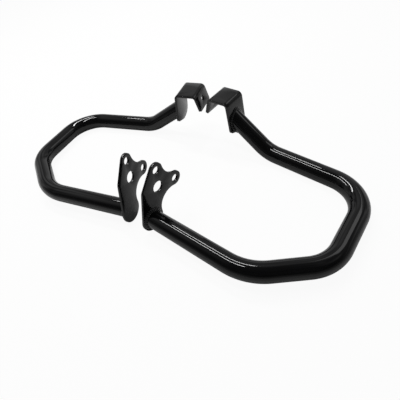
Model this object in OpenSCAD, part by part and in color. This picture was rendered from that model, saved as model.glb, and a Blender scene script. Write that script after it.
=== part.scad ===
// Pair of motorcycle crash bars, left and right, lying side by side as they come to rest.
// Each bar is one bent steel tube. Its front end is butt welded to an upright engine plate,
// and its rear end is coped and welded to the outer flap of a folded channel bracket.
// Z is up, X runs across the pair and Y from the plates back to the brackets. The origin is
// on the surface that the bars lie on, midway between them.

/* [Tube] */
// Outside diameter of the tube
tube_d = 28; // [24:0.5:30]
// Wall thickness of the tube
tube_wall = 2; // [1.5:0.25:3]
// Front leg, from the engine plate to the corner of the first bend
front_leg = 160; // [140:1:190]
// Corner leg, between the corners of the first and second bends
corner_leg = 103; // [90:1:130]
// Side leg, between the corners of the second and third bends
side_leg = 135.5; // [125:0.5:170]
// Rear leg, between the corners of the third and fourth bends
rear_leg = 166; // [145:1:190]
// Rising leg, from the corner of the fourth bend to the bracket, along the middle of the tube
rising_leg = 77.5; // [65:0.5:95]

/* [Bends] */
// Turn of the first bend, in degrees
front_turn = 41; // [35:1:45]
// Turn of the second bend, in degrees
side_turn = 51; // [46:1:56]
// Turn of the third bend, in degrees
rear_turn = 84.5; // [80:0.5:89]
// Rise of the last leg above the plane of the others, in degrees
rise = 32; // [26:1:38]
// Centreline radius of the first bend, the widest one
wide_bend_r = 78; // [60:1:90]
// Centreline radius of the other three bends
bend_r = 58; // [50:1:64]
// How much the skin of the tube draws in round the bends
draw_in = 0.05; // [0.05:0.01:0.1]

/* [Engine plate] */
// Thickness of the plate
plate_t = 3.5; // [3:0.5:6]
// Diameter of the two bolt holes
bolt_d = 11.5; // [9:0.5:13]
// Width of the ring of metal round each bolt hole
bolt_rim = 5.5; // [4.5:0.5:8]
// Upper bolt hole, distance behind the middle of the tube
upper_bolt_back = 29.5; // [25:0.5:34]
// Upper bolt hole, height above the middle of the tube
upper_bolt_up = 70; // [66:0.5:80]
// Rear bolt hole, distance behind the middle of the tube
rear_bolt_back = 58; // [55:0.5:66]
// Rear bolt hole, height above the middle of the tube
rear_bolt_up = 33.5; // [30:0.5:38]
// Diameter of the large locating hole
locating_d = 17.5; // [14:0.5:20]
// Large hole, distance behind the middle of the tube
locating_back = 25; // [22:0.5:27]
// Large hole, height above the middle of the tube
locating_up = 43.5; // [41:0.5:46]
// Radius of the front shoulder
shoulder_r = 15.5; // [13:0.5:18]
// Front shoulder, distance of its centre behind the middle of the tube
shoulder_back = 11; // [8:0.5:13]
// Front shoulder, height of its centre above the middle of the tube
shoulder_up = 43; // [38:1:48]
// Rim of the foot of the plate round the tube
foot_rim = 5.5; // [5:0.5:9]
// Foot of the plate, distance of its centre behind the middle of the tube
foot_back = 1; // [0:0.5:1]
// Foot of the plate, distance of its centre below the middle of the tube
foot_down = 3; // [1:0.5:5]
// Radius of the hollow between the two bolt holes
saddle_r = 30; // [20:1:40]
// Radius of the waist between the rear bolt hole and the foot
waist_r = 25; // [20:1:32]

/* [Channel bracket] */
// Thickness of the sheet
sheet_t = 4; // [3:0.5:5]
// Inside radius of the two folds
fold_r = 4; // [3:0.5:6]
// Width across the top, between the corners that the folds round off
channel_w = 38.5; // [35:0.5:46]
// Length of the channel
channel_l = 43.5; // [43:0.5:56]
// Splay of the outer flap from square, in degrees
outer_splay = 6.5; // [2:0.5:10]
// Splay of the inner flap from square, in degrees
inner_splay = 15; // [5:1:20]
// Inner flap, down its slope from the top corner
inner_flap = 29.5; // [27:0.5:36]
// Down the slope of the outer flap, from the top corner to the middle of the tube
tube_drop = 37; // [34:0.5:44]
// How far the outer flap runs on below the joint with the tube
flap_margin = 3.5; // [3.5:0.5:8]
// How far the tube sits in front of the middle of the channel
tube_forward = 2.5; // [0:0.5:2.5]
// Radius of the lower corners of the outer flap
outer_corner_r = 8; // [5:0.5:10]
// Radius of the lower corners of the inner flap
inner_corner_r = 3; // [2:0.5:8]
// Diameter of the bolt hole in the inner flap
flap_bolt_d = 8.5; // [6.5:0.5:9]
// Hole in the inner flap, down the slope from the top corner
flap_bolt_drop = 15; // [15:0.5:18]
// Slope of the channel along the bar, in degrees
channel_pitch = 2; // [0:0.5:4]

/* [Welds] */
// Width of the weld bead on the engine plate
plate_weld = 4; // [3:0.5:4]
// Width of the weld bead on the bracket
bracket_weld = 3; // [2:0.5:3]
// Extra reach of that bead up the tube where the tube leans over its seat, as a share
wedge_fill = 1.2; // [0:0.1:2]
// Length of one ripple of the beads
ripple_pitch = 3.4; // [3:0.1:6]
// Depth of the ripples, as a share of the width of the bead
ripple_depth = 0.16; // [0.05:0.01:0.25]

/* [How the pair lies] */
// Turn of each bar, so that the plates spread apart towards the rear, in degrees
yaw = 8.5; // [4:0.5:12]
// Clear gap between the two bars where they come closest
pair_gap = 9; // [6:1:60]

/* [Hidden] */
$fn = 96;
paint = "#16171a";
bead_paint = "#1d1e21";

tube_r = tube_d / 2;
bore_r = tube_r - tube_wall;

// Degrees that each bend of the tube runs on inside the straight legs beside it
run_on = 1;
// Rounded outlines are this much fuller than a true tangent, so that they cross the straight ones
ease = 0.02;

// A bar's own frame starts where the middle of the tube meets the engine plate. X runs out along
// the front leg, Y back and Z up, and the first four legs lie in the plane Z = 0.
rear_heading = front_turn + side_turn + rear_turn;
function heading(a) = [cos(a), sin(a), 0];
corner_1 = front_leg * heading(0);
corner_2 = corner_1 + corner_leg * heading(front_turn);
corner_3 = corner_2 + side_leg * heading(front_turn + side_turn);
corner_4 = corner_3 + rear_leg * heading(rear_heading);
rising_dir = cos(rise) * heading(rear_heading) + [0, 0, sin(rise)];
joint = corner_4 + rising_leg * rising_dir;

// Each bend turns by its angle after rolling about the tube, and takes its tangent off both legs.
turns = [front_turn, side_turn, rear_turn, rise];
rolls = [0, 0, 0, 90];
radii = [wide_bend_r, bend_r, bend_r, bend_r];
tangents = [for (i = [0 : 3]) radii[i] * tan(turns[i] / 2)];
straights = [
    front_leg - tangents[0],
    corner_leg - tangents[0] - tangents[1],
    side_leg - tangents[1] - tangents[2],
    rear_leg - tangents[2] - tangents[3],
    rising_leg - tangents[3]
];

// The channel's own frame has its origin at the top corner of the outer flap, X outwards, Y along
// the channel and Z square to its top. The outer flap's normal and its slope give the joint there.
outer_normal = [cos(outer_splay), 0, sin(outer_splay)];
outer_slope = [sin(outer_splay), 0, -cos(outer_splay)];
joint_in_channel = tube_drop * outer_slope - [0, tube_forward, 0];
function turn_x(v, a) = [v.x, v.y * cos(a) - v.z * sin(a), v.y * sin(a) + v.z * cos(a)];
function turn_y(v, a) = [v.x * cos(a) + v.z * sin(a), v.y, v.z * cos(a) - v.x * sin(a)];
function turn_z(v, a) = [v.x * cos(a) - v.y * sin(a), v.x * sin(a) + v.y * cos(a), v.z];
function channel_to_bar(p) = joint + turn_x(p - joint_in_channel, channel_pitch);

// The oblique cut stretches the tube's end on the flap, and the flap reaches past it.
flap_normal = turn_x(outer_normal, channel_pitch);
end_stretch = 1 / abs(flap_normal * rising_dir);
outer_flap = tube_drop + tube_r * end_stretch + flap_margin;

// Each bar lies on the foot of its plate and on its rear leg. It tips about the rear leg until the
// foot, which reaches below the tube, and the rear leg touch the surface together.
foot_r = tube_r + foot_rim;
foot_centre = [0, foot_back, -foot_down];
rear_dir = heading(rear_heading);
foot_arm = cross(rear_dir, foot_centre - corner_3).z;
tilt = asin((foot_r - tube_r) / norm([foot_arm, foot_down])) + atan2(foot_down, foot_arm);
function tip(v) = v * cos(tilt) + cross(rear_dir, v) * sin(tilt) + rear_dir * (rear_dir * v) * (1 - cos(tilt));
function turned(v) = turn_z(tip(v), -yaw);

// How far a rounded corner or a disc reaches along one direction: its centre, two edge directions
// of its plane and its radius are enough.
function disc_reach(centre, edge_a, edge_b, r, dir) =
    turned(centre) * dir + r * norm([turned(edge_a) * dir, turned(edge_b) * dir]);
inner_slope = [-sin(inner_splay), 0, -cos(inner_splay)];
inner_inset = inner_corner_r - ease;
function inner_corner(end) = channel_to_bar(
    [-channel_w, end * (channel_l / 2 - inner_inset), 0] + (inner_flap - inner_inset) * inner_slope);
channel_edge = turn_x([0, 1, 0], channel_pitch);
inner_edge = turn_x(inner_slope, channel_pitch);
bracket_inside = disc_reach(inner_corner(-1), channel_edge, inner_edge, inner_corner_r, [-1, 0, 0]);
bracket_back = disc_reach(inner_corner(1), channel_edge, inner_edge, inner_corner_r, [0, 1, 0]);
plate_inside = disc_reach(foot_centre - [plate_t, 0, 0], [0, 1, 0], [0, 0, 1], foot_r, [-1, 0, 0]);
wide_bend_centre = [front_leg - tangents[0], wide_bend_r, 0];
tube_front = disc_reach(wide_bend_centre, [1, 0, 0], [0, 1, 0], wide_bend_r, [0, -1, 0]) + tube_r - draw_in;
place = [
    pair_gap / 2 + max(bracket_inside, plate_inside),
    (tube_front - bracket_back) / 2,
    tube_r - turned(corner_3).z
];

// Outline of the engine plate, in the plane of Y and Z: discs at the holes, the shoulder and the
// foot, joined by tangents and by two hollow arcs.
upper_bolt = [upper_bolt_back, upper_bolt_up];
rear_bolt = [rear_bolt_back, rear_bolt_up];
locating = [locating_back, locating_up];
shoulder = [shoulder_back, shoulder_up];
foot = [foot_back, -foot_down];
lobe_r = bolt_d / 2 + bolt_rim;

// Centre of an arc of radius r that touches two discs from outside, on the left of a going to b
function hollow_centre(a, ra, b, rb, r) =
    let (d = norm(b - a), along = (b - a) / d, left = [-along.y, along.x],
         x = ((ra + r) ^ 2 - (rb + r) ^ 2 + d ^ 2) / (2 * d))
    a + x * along + sqrt((ra + r) ^ 2 - x ^ 2) * left;
// Point where the disc at a touches the arc centred at c
function touch(a, ra, c) = a + ra * (c - a) / norm(c - a);
// Direction from both centres to where a common tangent touches them, on the left of a going to b
function tangent_dir(a, ra, b, rb) =
    let (d = norm(b - a), along = (b - a) / d, left = [-along.y, along.x], lean = (ra - rb) / d)
    lean * along + sqrt(1 - lean ^ 2) * left;

saddle = hollow_centre(upper_bolt, lobe_r, rear_bolt, lobe_r, saddle_r);
waist = hollow_centre(rear_bolt, lobe_r, foot, foot_r, waist_r);
lower_front = tangent_dir(foot, foot_r, shoulder, shoulder_r);
upper_front = tangent_dir(shoulder, shoulder_r, upper_bolt, lobe_r);
plate_points = [
    touch(foot, foot_r - ease, waist),
    touch(rear_bolt, lobe_r - ease, waist),
    touch(rear_bolt, lobe_r - ease, saddle),
    touch(upper_bolt, lobe_r - ease, saddle),
    upper_bolt + (lobe_r - ease) * upper_front,
    shoulder + (shoulder_r - ease) * upper_front,
    shoulder + (shoulder_r - ease) * lower_front,
    foot + (foot_r - ease) * lower_front
];

// Weld bead: ripples along the joint, each drawn in a few steps, with a bulging face
ripple_steps = 4;
face_steps = 4;
bulge = 0.78;

// One bar, tipped and turned as it lies. Side is 1 for the right bar and -1 for the left one.
module on_side(side)
    mirror([side < 0 ? 1 : 0, 0, 0])
        translate(place)
            rotate([0, 0, -yaw])
                rotate(a = tilt, v = rear_dir)
                    children();

// The channel's frame, carried by the joint with the tube
module at_channel()
    translate(joint)
        rotate([channel_pitch, 0, 0])
            translate(-joint_in_channel)
                children();

// Draws in the plane of Y and Z, and gives it a thickness towards -X
module upright(t)
    translate([-t, 0, 0])
        rotate([90, 0, 90])
            linear_extrude(t)
                children();

// One bend of a rod of radius r, from the origin heading along X and turning towards Y. It is drawn
// in a little, and its ends run on inside the legs.
module rod_bend(r, i)
    translate([0, radii[i], 0])
        rotate([0, 0, -90 - run_on])
            rotate_extrude(angle = turns[i] + 2 * run_on)
                translate([radii[i], 0])
                    circle(r - draw_in);

// The rod from leg i to its end, drawn along the path of the tube
module rod_from(r, i) {
    last = i == len(turns);
    overrun = last ? tube_d : 0;
    rotate([0, 90, 0])
        cylinder(h = straights[i] + overrun, r = r);
    if (!last)
        translate([straights[i], 0, 0])
            rotate([rolls[i], 0, 0]) {
                rod_bend(r, i);
                translate([radii[i] * sin(turns[i]), radii[i] * (1 - cos(turns[i])), 0])
                    rotate([0, 0, turns[i]])
                        rod_from(r, i + 1);
            }
}

// Bent tube, open at both ends, with its rear end coped to the face of the outer flap
module tube()
    color(paint)
        difference() {
            rod_from(tube_r, 0);
            rod_from(bore_r, 0);
            at_channel()
                rotate([0, -outer_splay, 0])
                    translate([-2 * tube_d, -2 * channel_l, -2 * outer_flap])
                        cube([2 * tube_d, 4 * channel_l, 3 * outer_flap]);
        }

// Upright plate that bolts to the engine, with two bolt holes and a large locating hole
module engine_plate()
    color(paint)
        upright(plate_t)
            difference() {
                union() {
                    polygon(plate_points);
                    translate(foot) circle(foot_r);
                    translate(shoulder) circle(shoulder_r);
                    translate(upper_bolt) circle(lobe_r);
                    translate(rear_bolt) circle(lobe_r);
                }
                translate(saddle) circle(saddle_r + ease);
                translate(waist) circle(waist_r + ease);
                translate(upper_bolt) circle(d = bolt_d);
                translate(rear_bolt) circle(d = bolt_d);
                translate(locating) circle(d = locating_d);
            }

// Outline of the channel seen along its length, in the plane of X and Z. Each fold takes some of
// the flats on both sides of its sharp corner, and its centre lies inside the channel.
fold_outer_r = fold_r + sheet_t;
outer_take = fold_outer_r * tan((90 - outer_splay) / 2);
inner_take = fold_outer_r * tan((90 - inner_splay) / 2);
outer_down = [outer_slope.x, outer_slope.z];
outer_in = [-outer_normal.x, -outer_normal.z];
inner_down = [inner_slope.x, inner_slope.z];
inner_in = [cos(inner_splay), -sin(inner_splay)];
inner_edge_top = [-channel_w, 0];
outer_fold = [-outer_take, -fold_outer_r];
inner_fold = [inner_take - channel_w, -fold_outer_r];
channel_points = [
    [0, 0],
    inner_edge_top,
    inner_edge_top + inner_flap * inner_down,
    inner_edge_top + inner_flap * inner_down + sheet_t * inner_in,
    inner_fold - fold_r * inner_in,
    inner_fold,
    inner_fold + [0, fold_r],
    outer_fold + [0, fold_r],
    outer_fold,
    outer_fold - fold_r * outer_in,
    outer_flap * outer_down + sheet_t * outer_in,
    outer_flap * outer_down
];

// What a fold rounds off outside: a kite from the fold's centre past the sharp corner, less a disc
module fold_waste(centre, corner, side_in) {
    past = 1.5;
    difference() {
        polygon([
            centre,
            centre - past * fold_outer_r * side_in,
            centre + past * (corner - centre),
            centre + [0, past * fold_outer_r]
        ]);
        translate(centre) circle(fold_outer_r + ease);
    }
}

// What is rounded off a lower corner of a flap, seen square to it, with the corner at the origin
// and the flap above and to the left of it
module corner_waste(r) {
    inset = r - ease;
    difference() {
        translate([-r, -r])
            square(2 * r);
        translate([-inset, inset])
            circle(r);
        translate([-r, r])
            square(2 * r);
    }
}

// Both lower corners of the flap that hangs from the origin, cut right through the sheet
module flap_waste(splay, slope_l, r)
    rotate([0, -splay, 0])
        translate([2 * sheet_t, 0, -slope_l])
            for (end = [-1, 1])
                mirror([0, end < 0 ? 1 : 0, 0])
                    upright(4 * sheet_t)
                        translate([channel_l / 2, 0])
                            corner_waste(r);

// Folded channel bracket, open below, that sits over the frame and is bolted through its inner flap
module bracket()
    color(paint)
        at_channel()
            difference() {
                rotate([90, 0, 0])
                    linear_extrude(channel_l, center = true)
                        difference() {
                            polygon(channel_points);
                            translate(outer_fold) circle(fold_r + ease);
                            translate(inner_fold) circle(fold_r + ease);
                            fold_waste(outer_fold, [0, 0], outer_in);
                            fold_waste(inner_fold, inner_edge_top, inner_in);
                        }
                flap_waste(outer_splay, outer_flap, outer_corner_r);
                translate([-channel_w, 0, 0])
                    mirror([1, 0, 0])
                        flap_waste(inner_splay, inner_flap, inner_corner_r);
                translate([-channel_w, 0, 0])
                    rotate([0, inner_splay, 0])
                        translate([0, 0, -flap_bolt_drop])
                            rotate([0, 90, 0])
                                cylinder(h = 4 * sheet_t, d = flap_bolt_d, center = true);
            }

// Rippled fillet weld round a tube that runs along +X from a flat seat through the origin. The
// seat's normal gives an oblique joint, and the bead keeps just clear of the round tube.
module weld_bead(seat_normal, width) {
    ripples = round(360 / (ripple_pitch / (tube_r + width / 2) * 180 / PI));
    stations = ripples * ripple_steps;
    clear_r = tube_r / cos(180 / stations);
    row = face_steps + 2;
    points = [
        for (i = [0 : stations - 1])
            let (a = 360 * i / stations,
                 out = [0, cos(a), sin(a)],
                 root = clear_r * (out - [out * seat_normal / seat_normal.x, 0, 0]),
                 leg = width * (1 - ripple_depth * (1 - abs(sin(ripples * a / 2)))),
                 flat = out - (out * seat_normal) * seat_normal,
                 on_seat = leg * flat / norm(flat),
                 on_tube = [leg + wedge_fill * max(0, on_seat.x), 0, 0],
                 crest = bulge * (on_tube + on_seat))
            for (j = [0 : row - 1])
                let (t = (j - 1) / face_steps)
                j == 0 ? root
                       : root + (1 - t) ^ 2 * on_tube + 2 * t * (1 - t) * crest + t ^ 2 * on_seat
    ];
    faces = [
        for (i = [0 : stations - 1])
            for (j = [0 : row - 1])
                let (a = i * row + j,
                     b = i * row + (j + 1) % row,
                     c = (i + 1) % stations * row + (j + 1) % row,
                     d = (i + 1) % stations * row + j)
                for (triangle = [[a, c, b], [a, d, c]])
                    triangle
    ];
    polyhedron(points, faces);
}

// Bead round the front end of the tube, on the outer face of the engine plate
module plate_bead()
    color(bead_paint)
        weld_bead([1, 0, 0], plate_weld);

// Bead round the coped end of the tube, on the outer face of the bracket. Its X axis runs back down
// the rising leg, so the flap's normal is turned into that frame.
module bracket_bead() {
    back_heading = rear_heading - 180;
    level = turn_z(flap_normal, -back_heading);
    color(bead_paint)
        translate(joint)
            rotate([0, rise, back_heading])
                weld_bead(turn_y(level, -rise), bracket_weld);
}

on_side(1) tube();  // right_tube
on_side(1) engine_plate();  // right_engine_plate
on_side(1) bracket();  // right_bracket
on_side(1) plate_bead();  // right_plate_weld
on_side(1) bracket_bead();  // right_bracket_weld
on_side(-1) tube();  // left_tube
on_side(-1) engine_plate();  // left_engine_plate
on_side(-1) bracket();  // left_bracket
on_side(-1) plate_bead();  // left_plate_weld
on_side(-1) bracket_bead();  // left_bracket_weld
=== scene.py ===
# %% [markdown]
# # A pair of motorcycle crash bars
# Each bar is a bent steel tube. Its front end is welded to an upright plate that bolts to the
# engine, and its rear end rises to a folded channel bracket. All of it is painted gloss black.
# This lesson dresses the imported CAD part: every piece is built again with finer curves, softened
# edges and a finish, in the place where the CAD has it.

# %% Load the CAD part as the frame
import math

import bmesh
import bpy
from mathutils import Matrix, Vector, noise


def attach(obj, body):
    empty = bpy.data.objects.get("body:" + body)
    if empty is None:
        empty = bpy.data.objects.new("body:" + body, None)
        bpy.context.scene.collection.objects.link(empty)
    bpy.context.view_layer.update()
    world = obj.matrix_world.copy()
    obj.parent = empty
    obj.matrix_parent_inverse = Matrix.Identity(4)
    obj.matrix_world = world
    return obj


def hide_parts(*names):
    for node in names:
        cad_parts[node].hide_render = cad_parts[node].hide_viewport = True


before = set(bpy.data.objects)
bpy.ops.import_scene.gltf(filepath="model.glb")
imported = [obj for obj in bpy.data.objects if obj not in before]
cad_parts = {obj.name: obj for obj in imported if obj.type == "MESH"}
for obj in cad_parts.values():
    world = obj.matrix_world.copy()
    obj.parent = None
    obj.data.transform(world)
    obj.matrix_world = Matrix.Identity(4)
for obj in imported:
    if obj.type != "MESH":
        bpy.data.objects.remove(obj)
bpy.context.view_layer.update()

# %% [markdown]
# ## The camera
# The picture is taken from above the front right, about half a metre away, with a wide lens that
# makes the near bar look large. The camera is also rolled, so the picture's level isn't the
# floor's. A direction and a roll say this more plainly than three angles would.

# %% Camera
view_from = Vector((0.26098, -0.28543, 0.36539))
view_along = Vector((-0.414069, 0.508109, -0.755230))
camera_roll = math.radians(-12.585)
lens = bpy.data.cameras.new("Camera")
lens.sensor_width = 36
lens.lens = 27.7066
lens.shift_y = 0.00774
lens.clip_start = 0.01
camera = bpy.data.objects.new("Camera", lens)
bpy.context.collection.objects.link(camera)
turn = view_along.to_track_quat("-Z", "Y").to_matrix().to_4x4()
camera.matrix_world = Matrix.Translation(view_from) @ turn @ Matrix.Rotation(camera_roll, 4, "Z")
bpy.context.scene.camera = camera
print("camera height, mm:", round(1000 * view_from.z))

# %% [markdown]
# ## Sizes
# The sizes are those of the part's source, in millimetres. Only the end of the bracket's outer flap
# and the bead beside it are drawn fuller here. Each bar is drawn in its own frame: the origin is
# where the middle of the tube meets the plate, X runs out along the front leg, Y runs back and Z
# up. One matrix then lays the bar down where it rests, and turns it to metres. That is simpler
# than working out every point in the place where it lies.

# %% Sizes of the tube and its path
tube_r = 14.0
tube_wall = 2.0
draw_in = 0.05
legs = [160.0, 103.0, 135.5, 166.0, 77.5]
turns = [math.radians(a) for a in (41, 51, 84.5, 32)]
radii = [78.0, 58.0, 58.0, 58.0]
rolls = [0, 0, 0, math.radians(90)]
tangents = [r * math.tan(a / 2) for r, a in zip(radii, turns)]
straights = [leg - before - after
             for leg, before, after in zip(legs, [0] + tangents, tangents + [0])]
print("straight runs, mm:", [round(s, 1) for s in straights])

# %% Where each bar lies
# the source works out this place and tilt, so that foot and rear leg touch the floor together
bar_place = Vector((22.6816, -106.5698, 22.5370))
yaw = math.radians(8.5)
tilt = math.radians(2.2563)
rear_heading = sum(turns[:3])
rear_way = Vector((math.cos(rear_heading), math.sin(rear_heading), 0))
sides = {"right": 1, "left": -1}


def lay_down(side):
    """Takes a point of a bar's own frame, in mm, to where that bar lies, in metres."""
    return (Matrix.Scale(0.001, 4) @ Matrix.Diagonal((side, 1, 1, 1))
            @ Matrix.Translation(bar_place) @ Matrix.Rotation(-yaw, 4, "Z")
            @ Matrix.Rotation(tilt, 4, rear_way))


for side_name, side in sides.items():
    print(side_name, "bar starts at, m:", [round(v, 4) for v in lay_down(side).translation])

# %% [markdown]
# ## Small helpers
# Every piece ends the same way: its mesh gets a material, rides on the body of the part, takes
# the place of its CAD node, and is named for it. Faces are smooth, and edges sharper than a
# given angle stay crisp, so a round looks round and a cut edge looks cut.

# %% Finish a piece
crisp_angle = 35


def finished(name, build, side, material, crisp=crisp_angle):
    """Makes the object for one CAD node from a bmesh in the bar's own frame."""
    build.transform(lay_down(side))
    bmesh.ops.recalc_face_normals(build, faces=build.faces)
    mesh = bpy.data.meshes.new(name)
    build.to_mesh(mesh)
    build.free()
    mesh.shade_smooth()
    mesh.set_sharp_from_angle(angle=math.radians(crisp))
    mesh.materials.append(material)
    piece = bpy.data.objects.new(name, mesh)
    bpy.context.collection.objects.link(piece)
    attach(piece, "root")
    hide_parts(name.removesuffix("_looks"))
    print(name, len(mesh.vertices), "points")
    return piece


# %% Soften edges, and join rings
def softened(build, width):
    """Rounds every crisp edge, as a deburring wheel and paint do."""
    sharp = [e for e in build.edges
             if e.is_manifold and e.calc_face_angle(0) > math.radians(crisp_angle)]
    bmesh.ops.bevel(build, geom=sharp, offset=width, segments=2, profile=0.5, affect="EDGES",
                    clamp_overlap=True)
    return build


def ring_of_faces(build, rows):
    """Joins rows of vertices, each a closed ring, with four-sided faces, back to the first row."""
    for near, far in zip(rows, rows[1:] + rows[:1]):
        for i in range(len(near)):
            j = (i + 1) % len(near)
            build.faces.new((near[i], near[j], far[j], far[i]))


print("edges sharper than", crisp_angle, "degrees stay crisp or are softened")

# %% [markdown]
# ## Materials
# Enamel on steel is one plain thing: a black base under a clear, hard skin. What the eye sees is
# the skin. It mirrors the lamps as thin lines, and these lines waver a little, because sprayed
# paint dries with an orange-peel surface whose bumps are one to two millimetres apart. A coat over
# a base is another way to make it, but on a base this dark one glossy layer is enough.

# %% Colour and node helpers
def srgb(hex_colour):
    """A colour as it is written, such as #101114, turned to the linear values of a shader."""
    parts = [int(hex_colour[i:i + 2], 16) / 255 for i in (1, 3, 5)]
    return [p / 12.92 if p <= 0.04045 else ((p + 0.055) / 1.055) ** 2.4 for p in parts] + [1.0]


def add_node(tree, kind, settings=None, **inputs):
    """Adds a node. Settings are its own options, and inputs are values or other nodes' sockets."""
    made = tree.nodes.new("ShaderNode" + kind)
    for name, value in (settings or {}).items():
        setattr(made, name, value)
    for name, value in inputs.items():
        socket = made.inputs[name.replace("_", " ")]
        if isinstance(value, bpy.types.NodeSocket):
            tree.links.new(value, socket)
        else:
            socket.default_value = value
    return made


print("#808080 is", round(srgb("#808080")[0], 3), "in linear light")

# %% [markdown]
# Dried enamel has an index of refraction near 1.5. The photograph's reflections are weaker than
# that gives, so it is matched with 1.35. The tube is the smoothest. The plate and the sheet keep
# some of the steel's own grain under the paint, and the paint is thickest over the welds.

# %% Enamel
enamel_black = "#080809"
enamel_worn = "#0b0b0c"
enamel_ior = 1.35
patch_mm = 40


def sprayed_enamel(name, roughness, peel_mm, peel_height_mm):
    """Black enamel on steel, with orange peel and a faint unevenness of colour and gloss."""
    material = bpy.data.materials.new(name)
    material.use_nodes = True
    tree = material.node_tree
    tree.nodes.clear()
    place = add_node(tree, "TexCoord").outputs["Object"]
    cloud = add_node(tree, "TexNoise", Vector=place, Scale=1000 / patch_mm, Detail=3.0)
    tone = add_node(tree, "ValToRGB", Fac=cloud.outputs["Fac"])
    tone.color_ramp.elements[0].position = 0.35
    tone.color_ramp.elements[0].color = srgb(enamel_black)
    tone.color_ramp.elements[1].position = 0.75
    tone.color_ramp.elements[1].color = srgb(enamel_worn)
    haze = add_node(tree, "MapRange", Value=cloud.outputs["Fac"], From_Min=0.3, From_Max=0.7,
                    To_Min=roughness * 0.9, To_Max=roughness * 1.25)
    peel = add_node(tree, "TexNoise", Vector=place, Scale=1000 / peel_mm, Detail=2.0,
                    Roughness=0.4)
    bump = add_node(tree, "Bump", Height=peel.outputs["Fac"], Strength=1.0,
                    Distance=peel_height_mm / 1000)
    skin = add_node(tree, "BsdfPrincipled", Base_Color=tone.outputs["Color"],
                    Roughness=haze.outputs["Result"], Normal=bump.outputs["Normal"],
                    IOR=enamel_ior)
    add_node(tree, "OutputMaterial", Surface=skin.outputs["BSDF"])
    return material


# each has its roughness, and then the spacing and the height of its orange peel in mm
tube_enamel = sprayed_enamel("gloss_enamel_on_steel_tube", 0.05, 1.6, 0.002)
plate_enamel = sprayed_enamel("satin_gloss_enamel_on_laser_cut_plate", 0.12, 1.8, 0.002)
sheet_enamel = sprayed_enamel("satin_gloss_enamel_on_folded_sheet", 0.12, 1.8, 0.002)
weld_enamel = sprayed_enamel("gloss_enamel_over_weld_bead", 0.18, 1.2, 0.004)
print("materials:", [m.name for m in bpy.data.materials])

# %% [markdown]
# ## The bent tube
# The real tube is one length, bent four times on a tube bender, so it stays round through each
# bend. A curve with a round bevel could draw it, but its end can't be cut to the slant of the flap.
# So the mesh is made as the bender makes it: a ring of points travels along the legs and round the
# bends, every stop leaves a ring behind, and the last ring is slid until it lies on the flap.

# %% Path of the tube: one matrix for each ring
def tube_path(bend_step=3):
    """The ring matrices in the bar's own frame. X points along the tube."""
    here = Matrix.Identity(4)
    stops = [here.copy()]
    for i, straight in enumerate(straights):
        here = here @ Matrix.Translation((straight, 0, 0))
        stops.append(here.copy())
        if i == len(turns):
            break
        here = here @ Matrix.Rotation(rolls[i], 4, "X")
        steps = round(math.degrees(turns[i]) / bend_step)
        for k in range(1, steps + 1):
            a = turns[i] * k / steps
            swing = Matrix.Translation((radii[i] * math.sin(a), radii[i] * (1 - math.cos(a)), 0))
            stops.append(here @ swing @ Matrix.Rotation(a, 4, "Z"))
        here = stops[-1].copy()
    return stops


path = tube_path()
joint = path[-1].translation
rising_way = (path[-1].to_3x3() @ Vector((1, 0, 0))).normalized()
print("rings:", len(path), "joint, mm:", [round(v, 2) for v in joint])

# %% Slant of the flap that the tube's end meets
channel_pitch = math.radians(2)
outer_splay = math.radians(6.5)
flap_face = (Matrix.Rotation(channel_pitch, 3, "X")
             @ Vector((math.cos(outer_splay), 0, math.sin(outer_splay))))
meeting_angle = math.degrees(math.asin(abs(flap_face.dot(rising_way))))
print("tube meets flap at, degrees:", round(meeting_angle, 1))


# %% Sweep the tube
def tube_skin(build, radius, round_steps=64):
    """Rings of vertices along the path. The last ring is slid along the tube onto the flap."""
    rows = []
    for stop in path:
        # the roll before the last bend turns the ring, so points are laid by one fixed angle
        upright = stop.to_3x3().inverted() @ Vector((0, 0, 1))
        start = math.atan2(upright.z, upright.y)
        rows.append([])
        for k in range(round_steps):
            a = start + 2 * math.pi * k / round_steps
            point = stop @ Vector((0, radius * math.cos(a), radius * math.sin(a)))
            if stop is path[-1]:
                reach = (joint - point).dot(flap_face) / rising_way.dot(flap_face)
                point = point + reach * rising_way
            rows[-1].append(build.verts.new(point))
    return rows


for side_name, side in sides.items():
    build = bmesh.new()
    outside = tube_skin(build, tube_r - draw_in)
    bore = tube_skin(build, tube_r - tube_wall)
    ring_of_faces(build, outside + bore[::-1])
    finished(side_name + "_tube_looks", build, side, tube_enamel)

# %% [markdown]
# ## The engine plate
# The plate is cut by laser from flat steel, so its outline is made of plain arcs and straight
# tangents. Its discs are at the holes, at the shoulder and at the foot. Holes could be taken out of
# a solid plate with booleans, but these leave uneven faces where the edges are to be rounded. So
# the outline is drawn once as a line with its holes, filled, given its thickness, and softened.

# %% Sizes of the plate
plate_t = 3.5
plate_edge_r = 0.35
bolt_d = 11.5
lobe_r = bolt_d / 2 + 5.5
upper_bolt = Vector((29.5, 70.0))
rear_bolt = Vector((58.0, 33.5))
locating = Vector((25.0, 43.5))
locating_d = 17.5
shoulder = Vector((11.0, 43.0))
shoulder_r = 15.5
foot = Vector((1.0, -3.0))
foot_r = tube_r + 5.5
saddle_r = 30.0
waist_r = 25.0
print("bolt holes apart, mm:", round((upper_bolt - rear_bolt).length, 1))


# %% Arcs and tangents of the outline
def left_of(way):
    """The way turned a quarter to the left."""
    return Vector((-way.y, way.x))


def hollow_centre(a, ra, b, rb, r):
    """Centre of an arc of radius r that touches two discs from outside, left of a to b."""
    gap = (b - a).length
    way = (b - a) / gap
    x = ((ra + r) ** 2 - (rb + r) ** 2 + gap ** 2) / (2 * gap)
    return a + x * way + math.sqrt((ra + r) ** 2 - x ** 2) * left_of(way)


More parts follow.
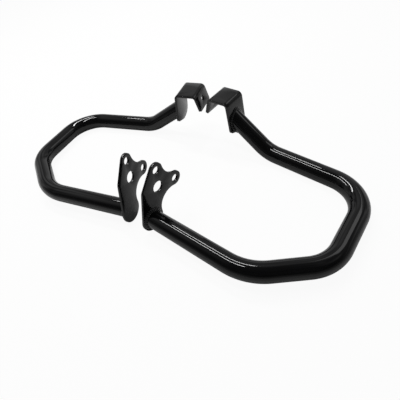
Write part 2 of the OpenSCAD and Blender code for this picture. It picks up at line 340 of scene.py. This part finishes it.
def tangent_way(a, ra, b, rb):
    """The way from both centres to where a common tangent touches, left of a to b."""
    gap = (b - a).length
    way = (b - a) / gap
    lean = (ra - rb) / gap
    return lean * way + math.sqrt(1 - lean ** 2) * left_of(way)


def arc(centre, r, start, end, anticlockwise=True, step=5):
    """Points on an arc from the way to start to the way to end, one each few degrees."""
    a = math.atan2(*(start - centre).yx)
    b = math.atan2(*(end - centre).yx)
    if anticlockwise and b < a:
        b += 2 * math.pi
    if not anticlockwise and b > a:
        b -= 2 * math.pi
    steps = max(2, round(math.degrees(abs(b - a)) / step))
    angles = [a + (b - a) * k / steps for k in range(steps + 1)]
    return [centre + r * Vector((math.cos(t), math.sin(t))) for t in angles]


def circle(centre, r, steps=48):
    """A whole circle of points."""
    angles = [2 * math.pi * k / steps for k in range(steps)]
    return [centre + r * Vector((math.cos(t), math.sin(t))) for t in angles]


print("a bolt hole is drawn with", len(circle(upper_bolt, bolt_d / 2)), "points")

# %% The plate's outline, once round
waist = hollow_centre(rear_bolt, lobe_r, foot, foot_r, waist_r)
saddle = hollow_centre(upper_bolt, lobe_r, rear_bolt, lobe_r, saddle_r)
lower_front = tangent_way(foot, foot_r, shoulder, shoulder_r)
upper_front = tangent_way(shoulder, shoulder_r, upper_bolt, lobe_r)
outline = (
    arc(foot, foot_r, foot + lower_front, waist)
    + arc(waist, waist_r, foot, rear_bolt, anticlockwise=False)[1:]
    + arc(rear_bolt, lobe_r, waist, saddle)[1:]
    + arc(saddle, saddle_r, rear_bolt, upper_bolt, anticlockwise=False)[1:]
    + arc(upper_bolt, lobe_r, saddle, upper_bolt + upper_front)[1:]
    + arc(shoulder, shoulder_r, shoulder + upper_front, shoulder + lower_front)
)
print("outline points:", len(outline))


# %% Fill an outline and give it thickness
def cut_sheet(loops):
    """A flat face at Z = 0 in X and Y, with holes. The first loop is its outline."""
    build = bmesh.new()
    edges = []
    for loop in loops:
        points = [build.verts.new((p.x, p.y, 0)) for p in loop]
        edges += [build.edges.new((p, q)) for p, q in zip(points, points[1:] + points[:1])]
    bmesh.ops.triangle_fill(build, edges=edges, use_beauty=True)
    return build


def thickened(build, thickness):
    """Adds the underside and the walls."""
    bmesh.ops.recalc_face_normals(build, faces=build.faces)
    under = bmesh.ops.extrude_face_region(build, geom=build.faces[:])["geom"]
    for v in under:
        if isinstance(v, bmesh.types.BMVert):
            v.co.z -= thickness
    bmesh.ops.recalc_face_normals(build, faces=build.faces)
    return build


whole = cut_sheet([outline])
print("plate before its holes, cm2:", round(sum(f.calc_area() for f in whole.faces) / 100, 1))
whole.free()


# %% Cut the plate and stand it up
def engine_plate():
    """The plate in the bar's own frame: drawn flat, and then stood up with its inner face at -X."""
    loops = [outline, circle(upper_bolt, bolt_d / 2), circle(rear_bolt, bolt_d / 2),
             circle(locating, locating_d / 2, 64)]
    build = softened(thickened(cut_sheet(loops), plate_t), plate_edge_r)
    stand_up = Matrix(((0, 0, 1, 0), (1, 0, 0, 0), (0, 1, 0, 0), (0, 0, 0, 1)))
    build.transform(stand_up)
    return build


for side_name, side in sides.items():
    finished(side_name + "_engine_plate_looks", engine_plate(), side, plate_enamel)

# %% [markdown]
# ## The channel bracket
# The bracket starts as a flat blank and is folded twice on a press brake. It is made here in the
# same order: the blank is cut with its rounded corners and its bolt hole, its edges are softened,
# and then every point is carried round the two folds. It could be a profile pulled out along its
# length, but its corners and its hole would then have to be cut at a slant. This way they come out
# as on the real one, and the folds have the sheet's own inner and outer radius.

# %% Sizes of the channel bracket
sheet_t = 4.0
fold_r = 4.0
channel_w = 38.5
channel_l = 43.5
inner_splay = math.radians(15)
inner_flap = 29.5
tube_drop = 37.0
tube_forward = 2.5
flap_margin = 3.5
print("bracket, mm:", channel_w, "wide and", channel_l, "long")

# %% Sizes of its corners and its bolt hole
inner_corner_r = 3.0
flap_bolt_d = 8.5
flap_bolt_drop = 15.0
outer_front_r = 6.0
outer_front_lift = 2.5
outer_end_r = 18.0
outer_end_drop = 4.0
print("bolt hole in the inner flap, mm:", flap_bolt_d)

# %% Lengths of the blank
fold_outer_r = fold_r + sheet_t
outer_turn = math.pi / 2 - outer_splay
inner_turn = math.pi / 2 - inner_splay
outer_take = fold_outer_r * math.tan(outer_turn / 2)
inner_take = fold_outer_r * math.tan(inner_turn / 2)
end_stretch = 1 / abs(flap_face.dot(rising_way))
outer_flap = tube_drop + tube_r * end_stretch + flap_margin
# the middle of the sheet keeps its length in a fold, so it measures the blank
middle_r = fold_r + sheet_t / 2
top_half = (channel_w - outer_take - inner_take) / 2
outer_length = top_half + middle_r * outer_turn + outer_flap - outer_take
inner_length = top_half + middle_r * inner_turn + inner_flap - inner_take
bolt_at = top_half + middle_r * inner_turn + flap_bolt_drop - inner_take
print("blank, mm:", round(outer_length + inner_length, 1), "by", channel_l)

# %% The blank
sheet_edge_r = 0.5
fold_steps = 12


def bracket_rim():
    """The blank's rim, X towards the outer flap, whose end is slanted with one large round."""
    front, rear = -channel_l / 2, channel_l / 2
    front_corner = Vector((outer_length - outer_front_lift - outer_front_r, front + outer_front_r))
    round_end = Vector((outer_length + outer_end_drop - outer_end_r, rear - outer_end_r))
    slant = tangent_way(round_end, outer_end_r, front_corner, outer_front_r)
    inner_rear = Vector((-inner_length + inner_corner_r, rear - inner_corner_r))
    inner_front = Vector((-inner_length + inner_corner_r, front + inner_corner_r))
    ahead, back, inwards = Vector((0, -1)), Vector((0, 1)), Vector((-1, 0))
    return (arc(front_corner, outer_front_r, front_corner + ahead, front_corner + slant)
            + arc(round_end, outer_end_r, round_end + slant, round_end + back)
            + arc(inner_rear, inner_corner_r, inner_rear + back, inner_rear + inwards)
            + arc(inner_front, inner_corner_r, inner_front + inwards, inner_front + ahead))


def bracket_blank():
    """The flat blank, with lines across it where it folds."""
    bolt_hole = circle(Vector((-bolt_at, 0)), flap_bolt_d / 2, 40)
    build = cut_sheet([bracket_rim(), bolt_hole])
    for side, turn in ((1, outer_turn), (-1, inner_turn)):
        for k in range(fold_steps + 1):
            x = side * (top_half + middle_r * turn * k / fold_steps)
            bmesh.ops.bisect_plane(build, geom=build.verts[:] + build.edges[:] + build.faces[:],
                                   plane_co=(x, 0, 0), plane_no=(1, 0, 0))
    return softened(thickened(build, sheet_t), sheet_edge_r)


print("the blank's rim is drawn with", len(bracket_rim()), "points")


# %% Fold the blank
def folded(x, depth, side, turn):
    """Where a point of the blank goes: x from the middle of the top, depth below the outside."""
    past = side * x - top_half
    if past <= 0:
        return x, -depth
    a = min(past / middle_r, turn)
    flat = max(0, past - middle_r * turn)
    r = fold_outer_r - depth
    along = top_half + r * math.sin(a) + flat * math.cos(a)
    down = fold_outer_r - r * math.cos(a) + flat * math.sin(a)
    return side * along, -down


def channel_bracket():
    """The folded bracket in the bar's own frame, carried by its joint with the tube."""
    build = bracket_blank()
    middle = -(outer_take + top_half)
    for v in build.verts:
        side, turn = (1, outer_turn) if v.co.x > 0 else (-1, inner_turn)
        x, z = folded(v.co.x, -v.co.z, side, turn)
        v.co = Vector((middle + x, v.co.y, z))
    down_flap = Vector((math.sin(outer_splay), 0, -math.cos(outer_splay)))
    joint_in_channel = tube_drop * down_flap - Vector((0, tube_forward, 0))
    build.transform(Matrix.Translation(joint) @ Matrix.Rotation(channel_pitch, 4, "X")
                    @ Matrix.Translation(-joint_in_channel))
    return build


for side_name, side in sides.items():
    finished(side_name + "_bracket_looks", channel_bracket(), side, sheet_enamel)

# %% [markdown]
# ## The weld beads
# A hand-made fillet weld is a row of small overlapping puddles. Each puddle leaves a ripple, and
# no two are quite alike, so the ripples here are evenly spaced but swell and shrink a little. Their
# spacing is a guess, because the paint fills the finest lines and keeps only the lumps. A bump in
# the material would be less work, but it leaves the outline smooth, so the beads are real shape.

# %% Sizes of the beads
ripple_pitch = 3.4
ripple_depth = 0.16
ripple_roundness = 0.6
ripple_steps = 8
lumpiness = 0.1
lump_spread = 3
fullness = 0.78
face_steps = 8
plate_bead_w = 4.0
bracket_bead_w = 3.4
bracket_wedge_fill = 3.0
bracket_bead_seed = 5
bead_crisp_angle = 60
print("bead widths, mm:", plate_bead_w, "at the plate and", bracket_bead_w, "at the bracket")


# %% Weld bead round a tube that runs along +X from its seat
def weld_bead(seat, width, seed, wedge_fill=0.0):
    """Seat is the normal of the face that the tube stands on, and the bead runs round the tube."""
    build = bmesh.new()
    ripples = round(2 * math.pi * (tube_r + width / 2) / ripple_pitch)
    stations = ripples * ripple_steps
    print("ripples in the bead:", ripples)
    rows = []
    for i in range(stations):
        a = 2 * math.pi * i / stations
        out = Vector((0, math.cos(a), math.sin(a)))
        root = tube_r * (out - Vector((out.dot(seat) / seat.x, 0, 0)))
        dip = (i / ripple_steps) % 1
        wave = 1 - ripple_depth * (1 - math.sin(math.pi * dip) ** ripple_roundness)
        spot = Vector((lump_spread * math.cos(a), lump_spread * math.sin(a), seed))
        lump = lumpiness * abs(noise.noise(spot))
        leg = width * wave * (1 - lump)
        on_seat = leg * (out - out.dot(seat) * seat).normalized()
        # where the tube leans over its seat, the weld fills the narrow wedge and runs further up
        on_tube = Vector((leg + wedge_fill * max(0, on_seat.x), 0, 0))
        crest = (fullness - lump) * (on_tube + on_seat)
        row = [root]
        for j in range(face_steps + 1):
            t = j / face_steps
            row.append(root + (1 - t) ** 2 * on_tube + 2 * t * (1 - t) * crest + t * t * on_seat)
        rows.append([build.verts.new(p) for p in row])
    ring_of_faces(build, rows)
    return build


# %% Beads at the plate and at the bracket
plate_seat = Vector((1, 0, 0))
bracket_turn = (Matrix.Translation(joint)
                @ rising_way.to_track_quat("X", "Z").to_matrix().to_4x4()
                @ Matrix.Rotation(math.pi, 4, "Z"))
bracket_seat = bracket_turn.to_3x3().inverted() @ flap_face
for side_name, side in sides.items():
    bead = weld_bead(plate_seat, plate_bead_w, side)
    finished(side_name + "_plate_weld_looks", bead, side, weld_enamel,
             crisp=bead_crisp_angle)
    bead = weld_bead(bracket_seat, bracket_bead_w, side + bracket_bead_seed, bracket_wedge_fill)
    bead.transform(bracket_turn)
    finished(side_name + "_bracket_weld_looks", bead, side, weld_enamel,
             crisp=bead_crisp_angle)

# %% [markdown]
# ## Floor, lamps and the room
# Gloss black shows little but reflections, so the lamps are placed by where their reflections
# run. The two thin bright lines along each tube come from two long strip lamps overhead. The grey
# of the flanks is the room, whose walls are pale behind and to the left. The near flanks and the
# plates stay dark, because the room is dark where the camera stands. A picture of a real studio
# could light the scene too, but lamps and shades like these can be moved one at a time.

# %% How much plain white each kind of ray sees
mirrored_white = 0.05


def whitened(tree, own, white, seen_by_camera):
    """Mixes plain white into floor or room: nearly all for the camera, little for the paint."""
    rays = add_node(tree, "LightPath")
    mirrored = add_node(tree, "Math", {"operation": "MAXIMUM"})
    tree.links.new(rays.outputs["Is Glossy Ray"], mirrored.inputs[0])
    tree.links.new(rays.outputs["Is Transmission Ray"], mirrored.inputs[1])
    mirrored_share = add_node(tree, "Math", {"operation": "MULTIPLY"})
    tree.links.new(mirrored.outputs[0], mirrored_share.inputs[0])
    mirrored_share.inputs[1].default_value = mirrored_white
    share = add_node(tree, "Math", {"operation": "MULTIPLY_ADD"})
    tree.links.new(rays.outputs["Is Camera Ray"], share.inputs[0])
    share.inputs[1].default_value = seen_by_camera
    tree.links.new(mirrored_share.outputs[0], share.inputs[2])
    both = add_node(tree, "MixShader", Fac=share.outputs[0])
    tree.links.new(own.outputs[0], both.inputs[1])
    tree.links.new(white.outputs[0], both.inputs[2])
    return both.outputs[0]


print("share of plain white in the paint's reflections:", mirrored_white)

# %% Floor
floor_reach = 12.0
floor_white = 0.94
corners = [(x * floor_reach, y * floor_reach, 0) for x, y in ((-1, -1), (1, -1), (1, 1), (-1, 1))]
floor_mesh = bpy.data.meshes.new("Floor")
floor_mesh.from_pydata(corners, [], [(0, 1, 2, 3)])
floor = bpy.data.objects.new("Floor", floor_mesh)
bpy.context.collection.objects.link(floor)
paper = bpy.data.materials.new("matt_white_paper")
paper.use_nodes = True
tree = paper.node_tree
tree.nodes.clear()
matt = add_node(tree, "BsdfDiffuse", Color=srgb("#e2e2e2"))
glow = add_node(tree, "Emission", Color=(1, 1, 1, 1), Strength=1.0)
add_node(tree, "OutputMaterial", Surface=whitened(tree, matt, glow, floor_white))
floor_mesh.materials.append(paper)
print("floor, m:", 2 * floor_reach, "square")

# %% [markdown]
# The room is a shade for each direction. Its walls are a soft step from dark to pale, and large
# patches, lighter and darker, stand for the things in it. The ceiling is dark between the lamps,
# and a paler band runs along the foot of the walls, where they catch light from the floor.

# %% The walls
pale_way = (-0.45, 0.87, 0.18)
dark_wall, pale_wall = 0.02, 0.55
dark_patch, pale_patch = 0.35, 1.6
smooth = {"interpolation_type": "SMOOTHSTEP"}
world = bpy.data.worlds.new("Room")
bpy.context.scene.world = world
world.use_nodes = True
tree = world.node_tree
tree.nodes.clear()
way = add_node(tree, "TexCoord").outputs["Generated"]
towards_pale = add_node(tree, "VectorMath", {"operation": "DOT_PRODUCT"}, Vector=way)
towards_pale.inputs[1].default_value = pale_way
bare_walls = add_node(tree, "MapRange", smooth, Value=towards_pale.outputs["Value"],
                      From_Min=-0.3, From_Max=0.4, To_Min=dark_wall, To_Max=pale_wall)
things = add_node(tree, "TexNoise", Vector=way, Scale=3.2, Detail=1.5, Roughness=0.5)
patches = add_node(tree, "MapRange", smooth, Value=things.outputs["Fac"],
                   From_Min=0.38, From_Max=0.62, To_Min=dark_patch, To_Max=pale_patch)
walls = add_node(tree, "Math", {"operation": "MULTIPLY"})
tree.links.new(bare_walls.outputs["Result"], walls.inputs[0])
tree.links.new(patches.outputs["Result"], walls.inputs[1])
print("walls are made of", len(tree.nodes), "nodes")

# %% Ceiling and skirting
ceiling_share = 0.1
skirting_glow = 0.3
room_white = 0.95
height = add_node(tree, "SeparateXYZ", Vector=way).outputs["Z"]
ceiling = add_node(tree, "MapRange", smooth, Value=height,
                   From_Min=0.75, From_Max=1.0, To_Min=1.0, To_Max=ceiling_share)
skirting = add_node(tree, "MapRange", smooth, Value=height,
                    From_Min=0.0, From_Max=0.35, To_Min=skirting_glow, To_Max=0.0)
room_light = add_node(tree, "Math", {"operation": "MULTIPLY_ADD"})
tree.links.new(walls.outputs[0], room_light.inputs[0])
tree.links.new(ceiling.outputs["Result"], room_light.inputs[1])
tree.links.new(skirting.outputs["Result"], room_light.inputs[2])
room = add_node(tree, "Background", Strength=room_light.outputs[0])
white = add_node(tree, "Background", Color=(1, 1, 1, 1), Strength=1.0)
add_node(tree, "OutputWorld", Surface=whitened(tree, room, white, room_white))
print("room is made of", len(tree.nodes), "nodes")

# %% Lamps
lamp_height = 1.20


def lamp(name, middle, turned, length, width, brightness):
    """A flat lamp, turned from facing straight down. Brightness is its face's, white = 1."""
    light = bpy.data.lights.new(name, "AREA")
    light.shape = "RECTANGLE"
    light.size = length
    light.size_y = width
    light.energy = brightness * math.pi * length * width
    held = bpy.data.objects.new(name, light)
    bpy.context.collection.objects.link(held)
    held.matrix_world = Matrix.Translation(middle) @ turned
    print(name, round(light.energy, 2), "W")


lamp("Strip_rear", (-0.56, 0.482, lamp_height), Matrix.Rotation(math.radians(0.6), 4, "Z"),
     length=1.07, width=0.074, brightness=47)
lamp("Strip_front", (-0.385, -0.043, lamp_height), Matrix.Rotation(math.radians(-9), 4, "Z"),
     length=0.85, width=0.052, brightness=50)
# a dim soft box behind the right bar gives the broad faint sheen on its outer side
soft_box_place = Vector((0.45, 0.75, 0.95))
aim = Vector((0.25, 0.0, 0.0)) - soft_box_place
lamp("Soft_box", soft_box_place, aim.to_track_quat("-Z", "Y").to_matrix().to_4x4(),
     length=0.5, width=0.35, brightness=1.6)
bpy.context.scene.view_settings.view_transform = "Standard"
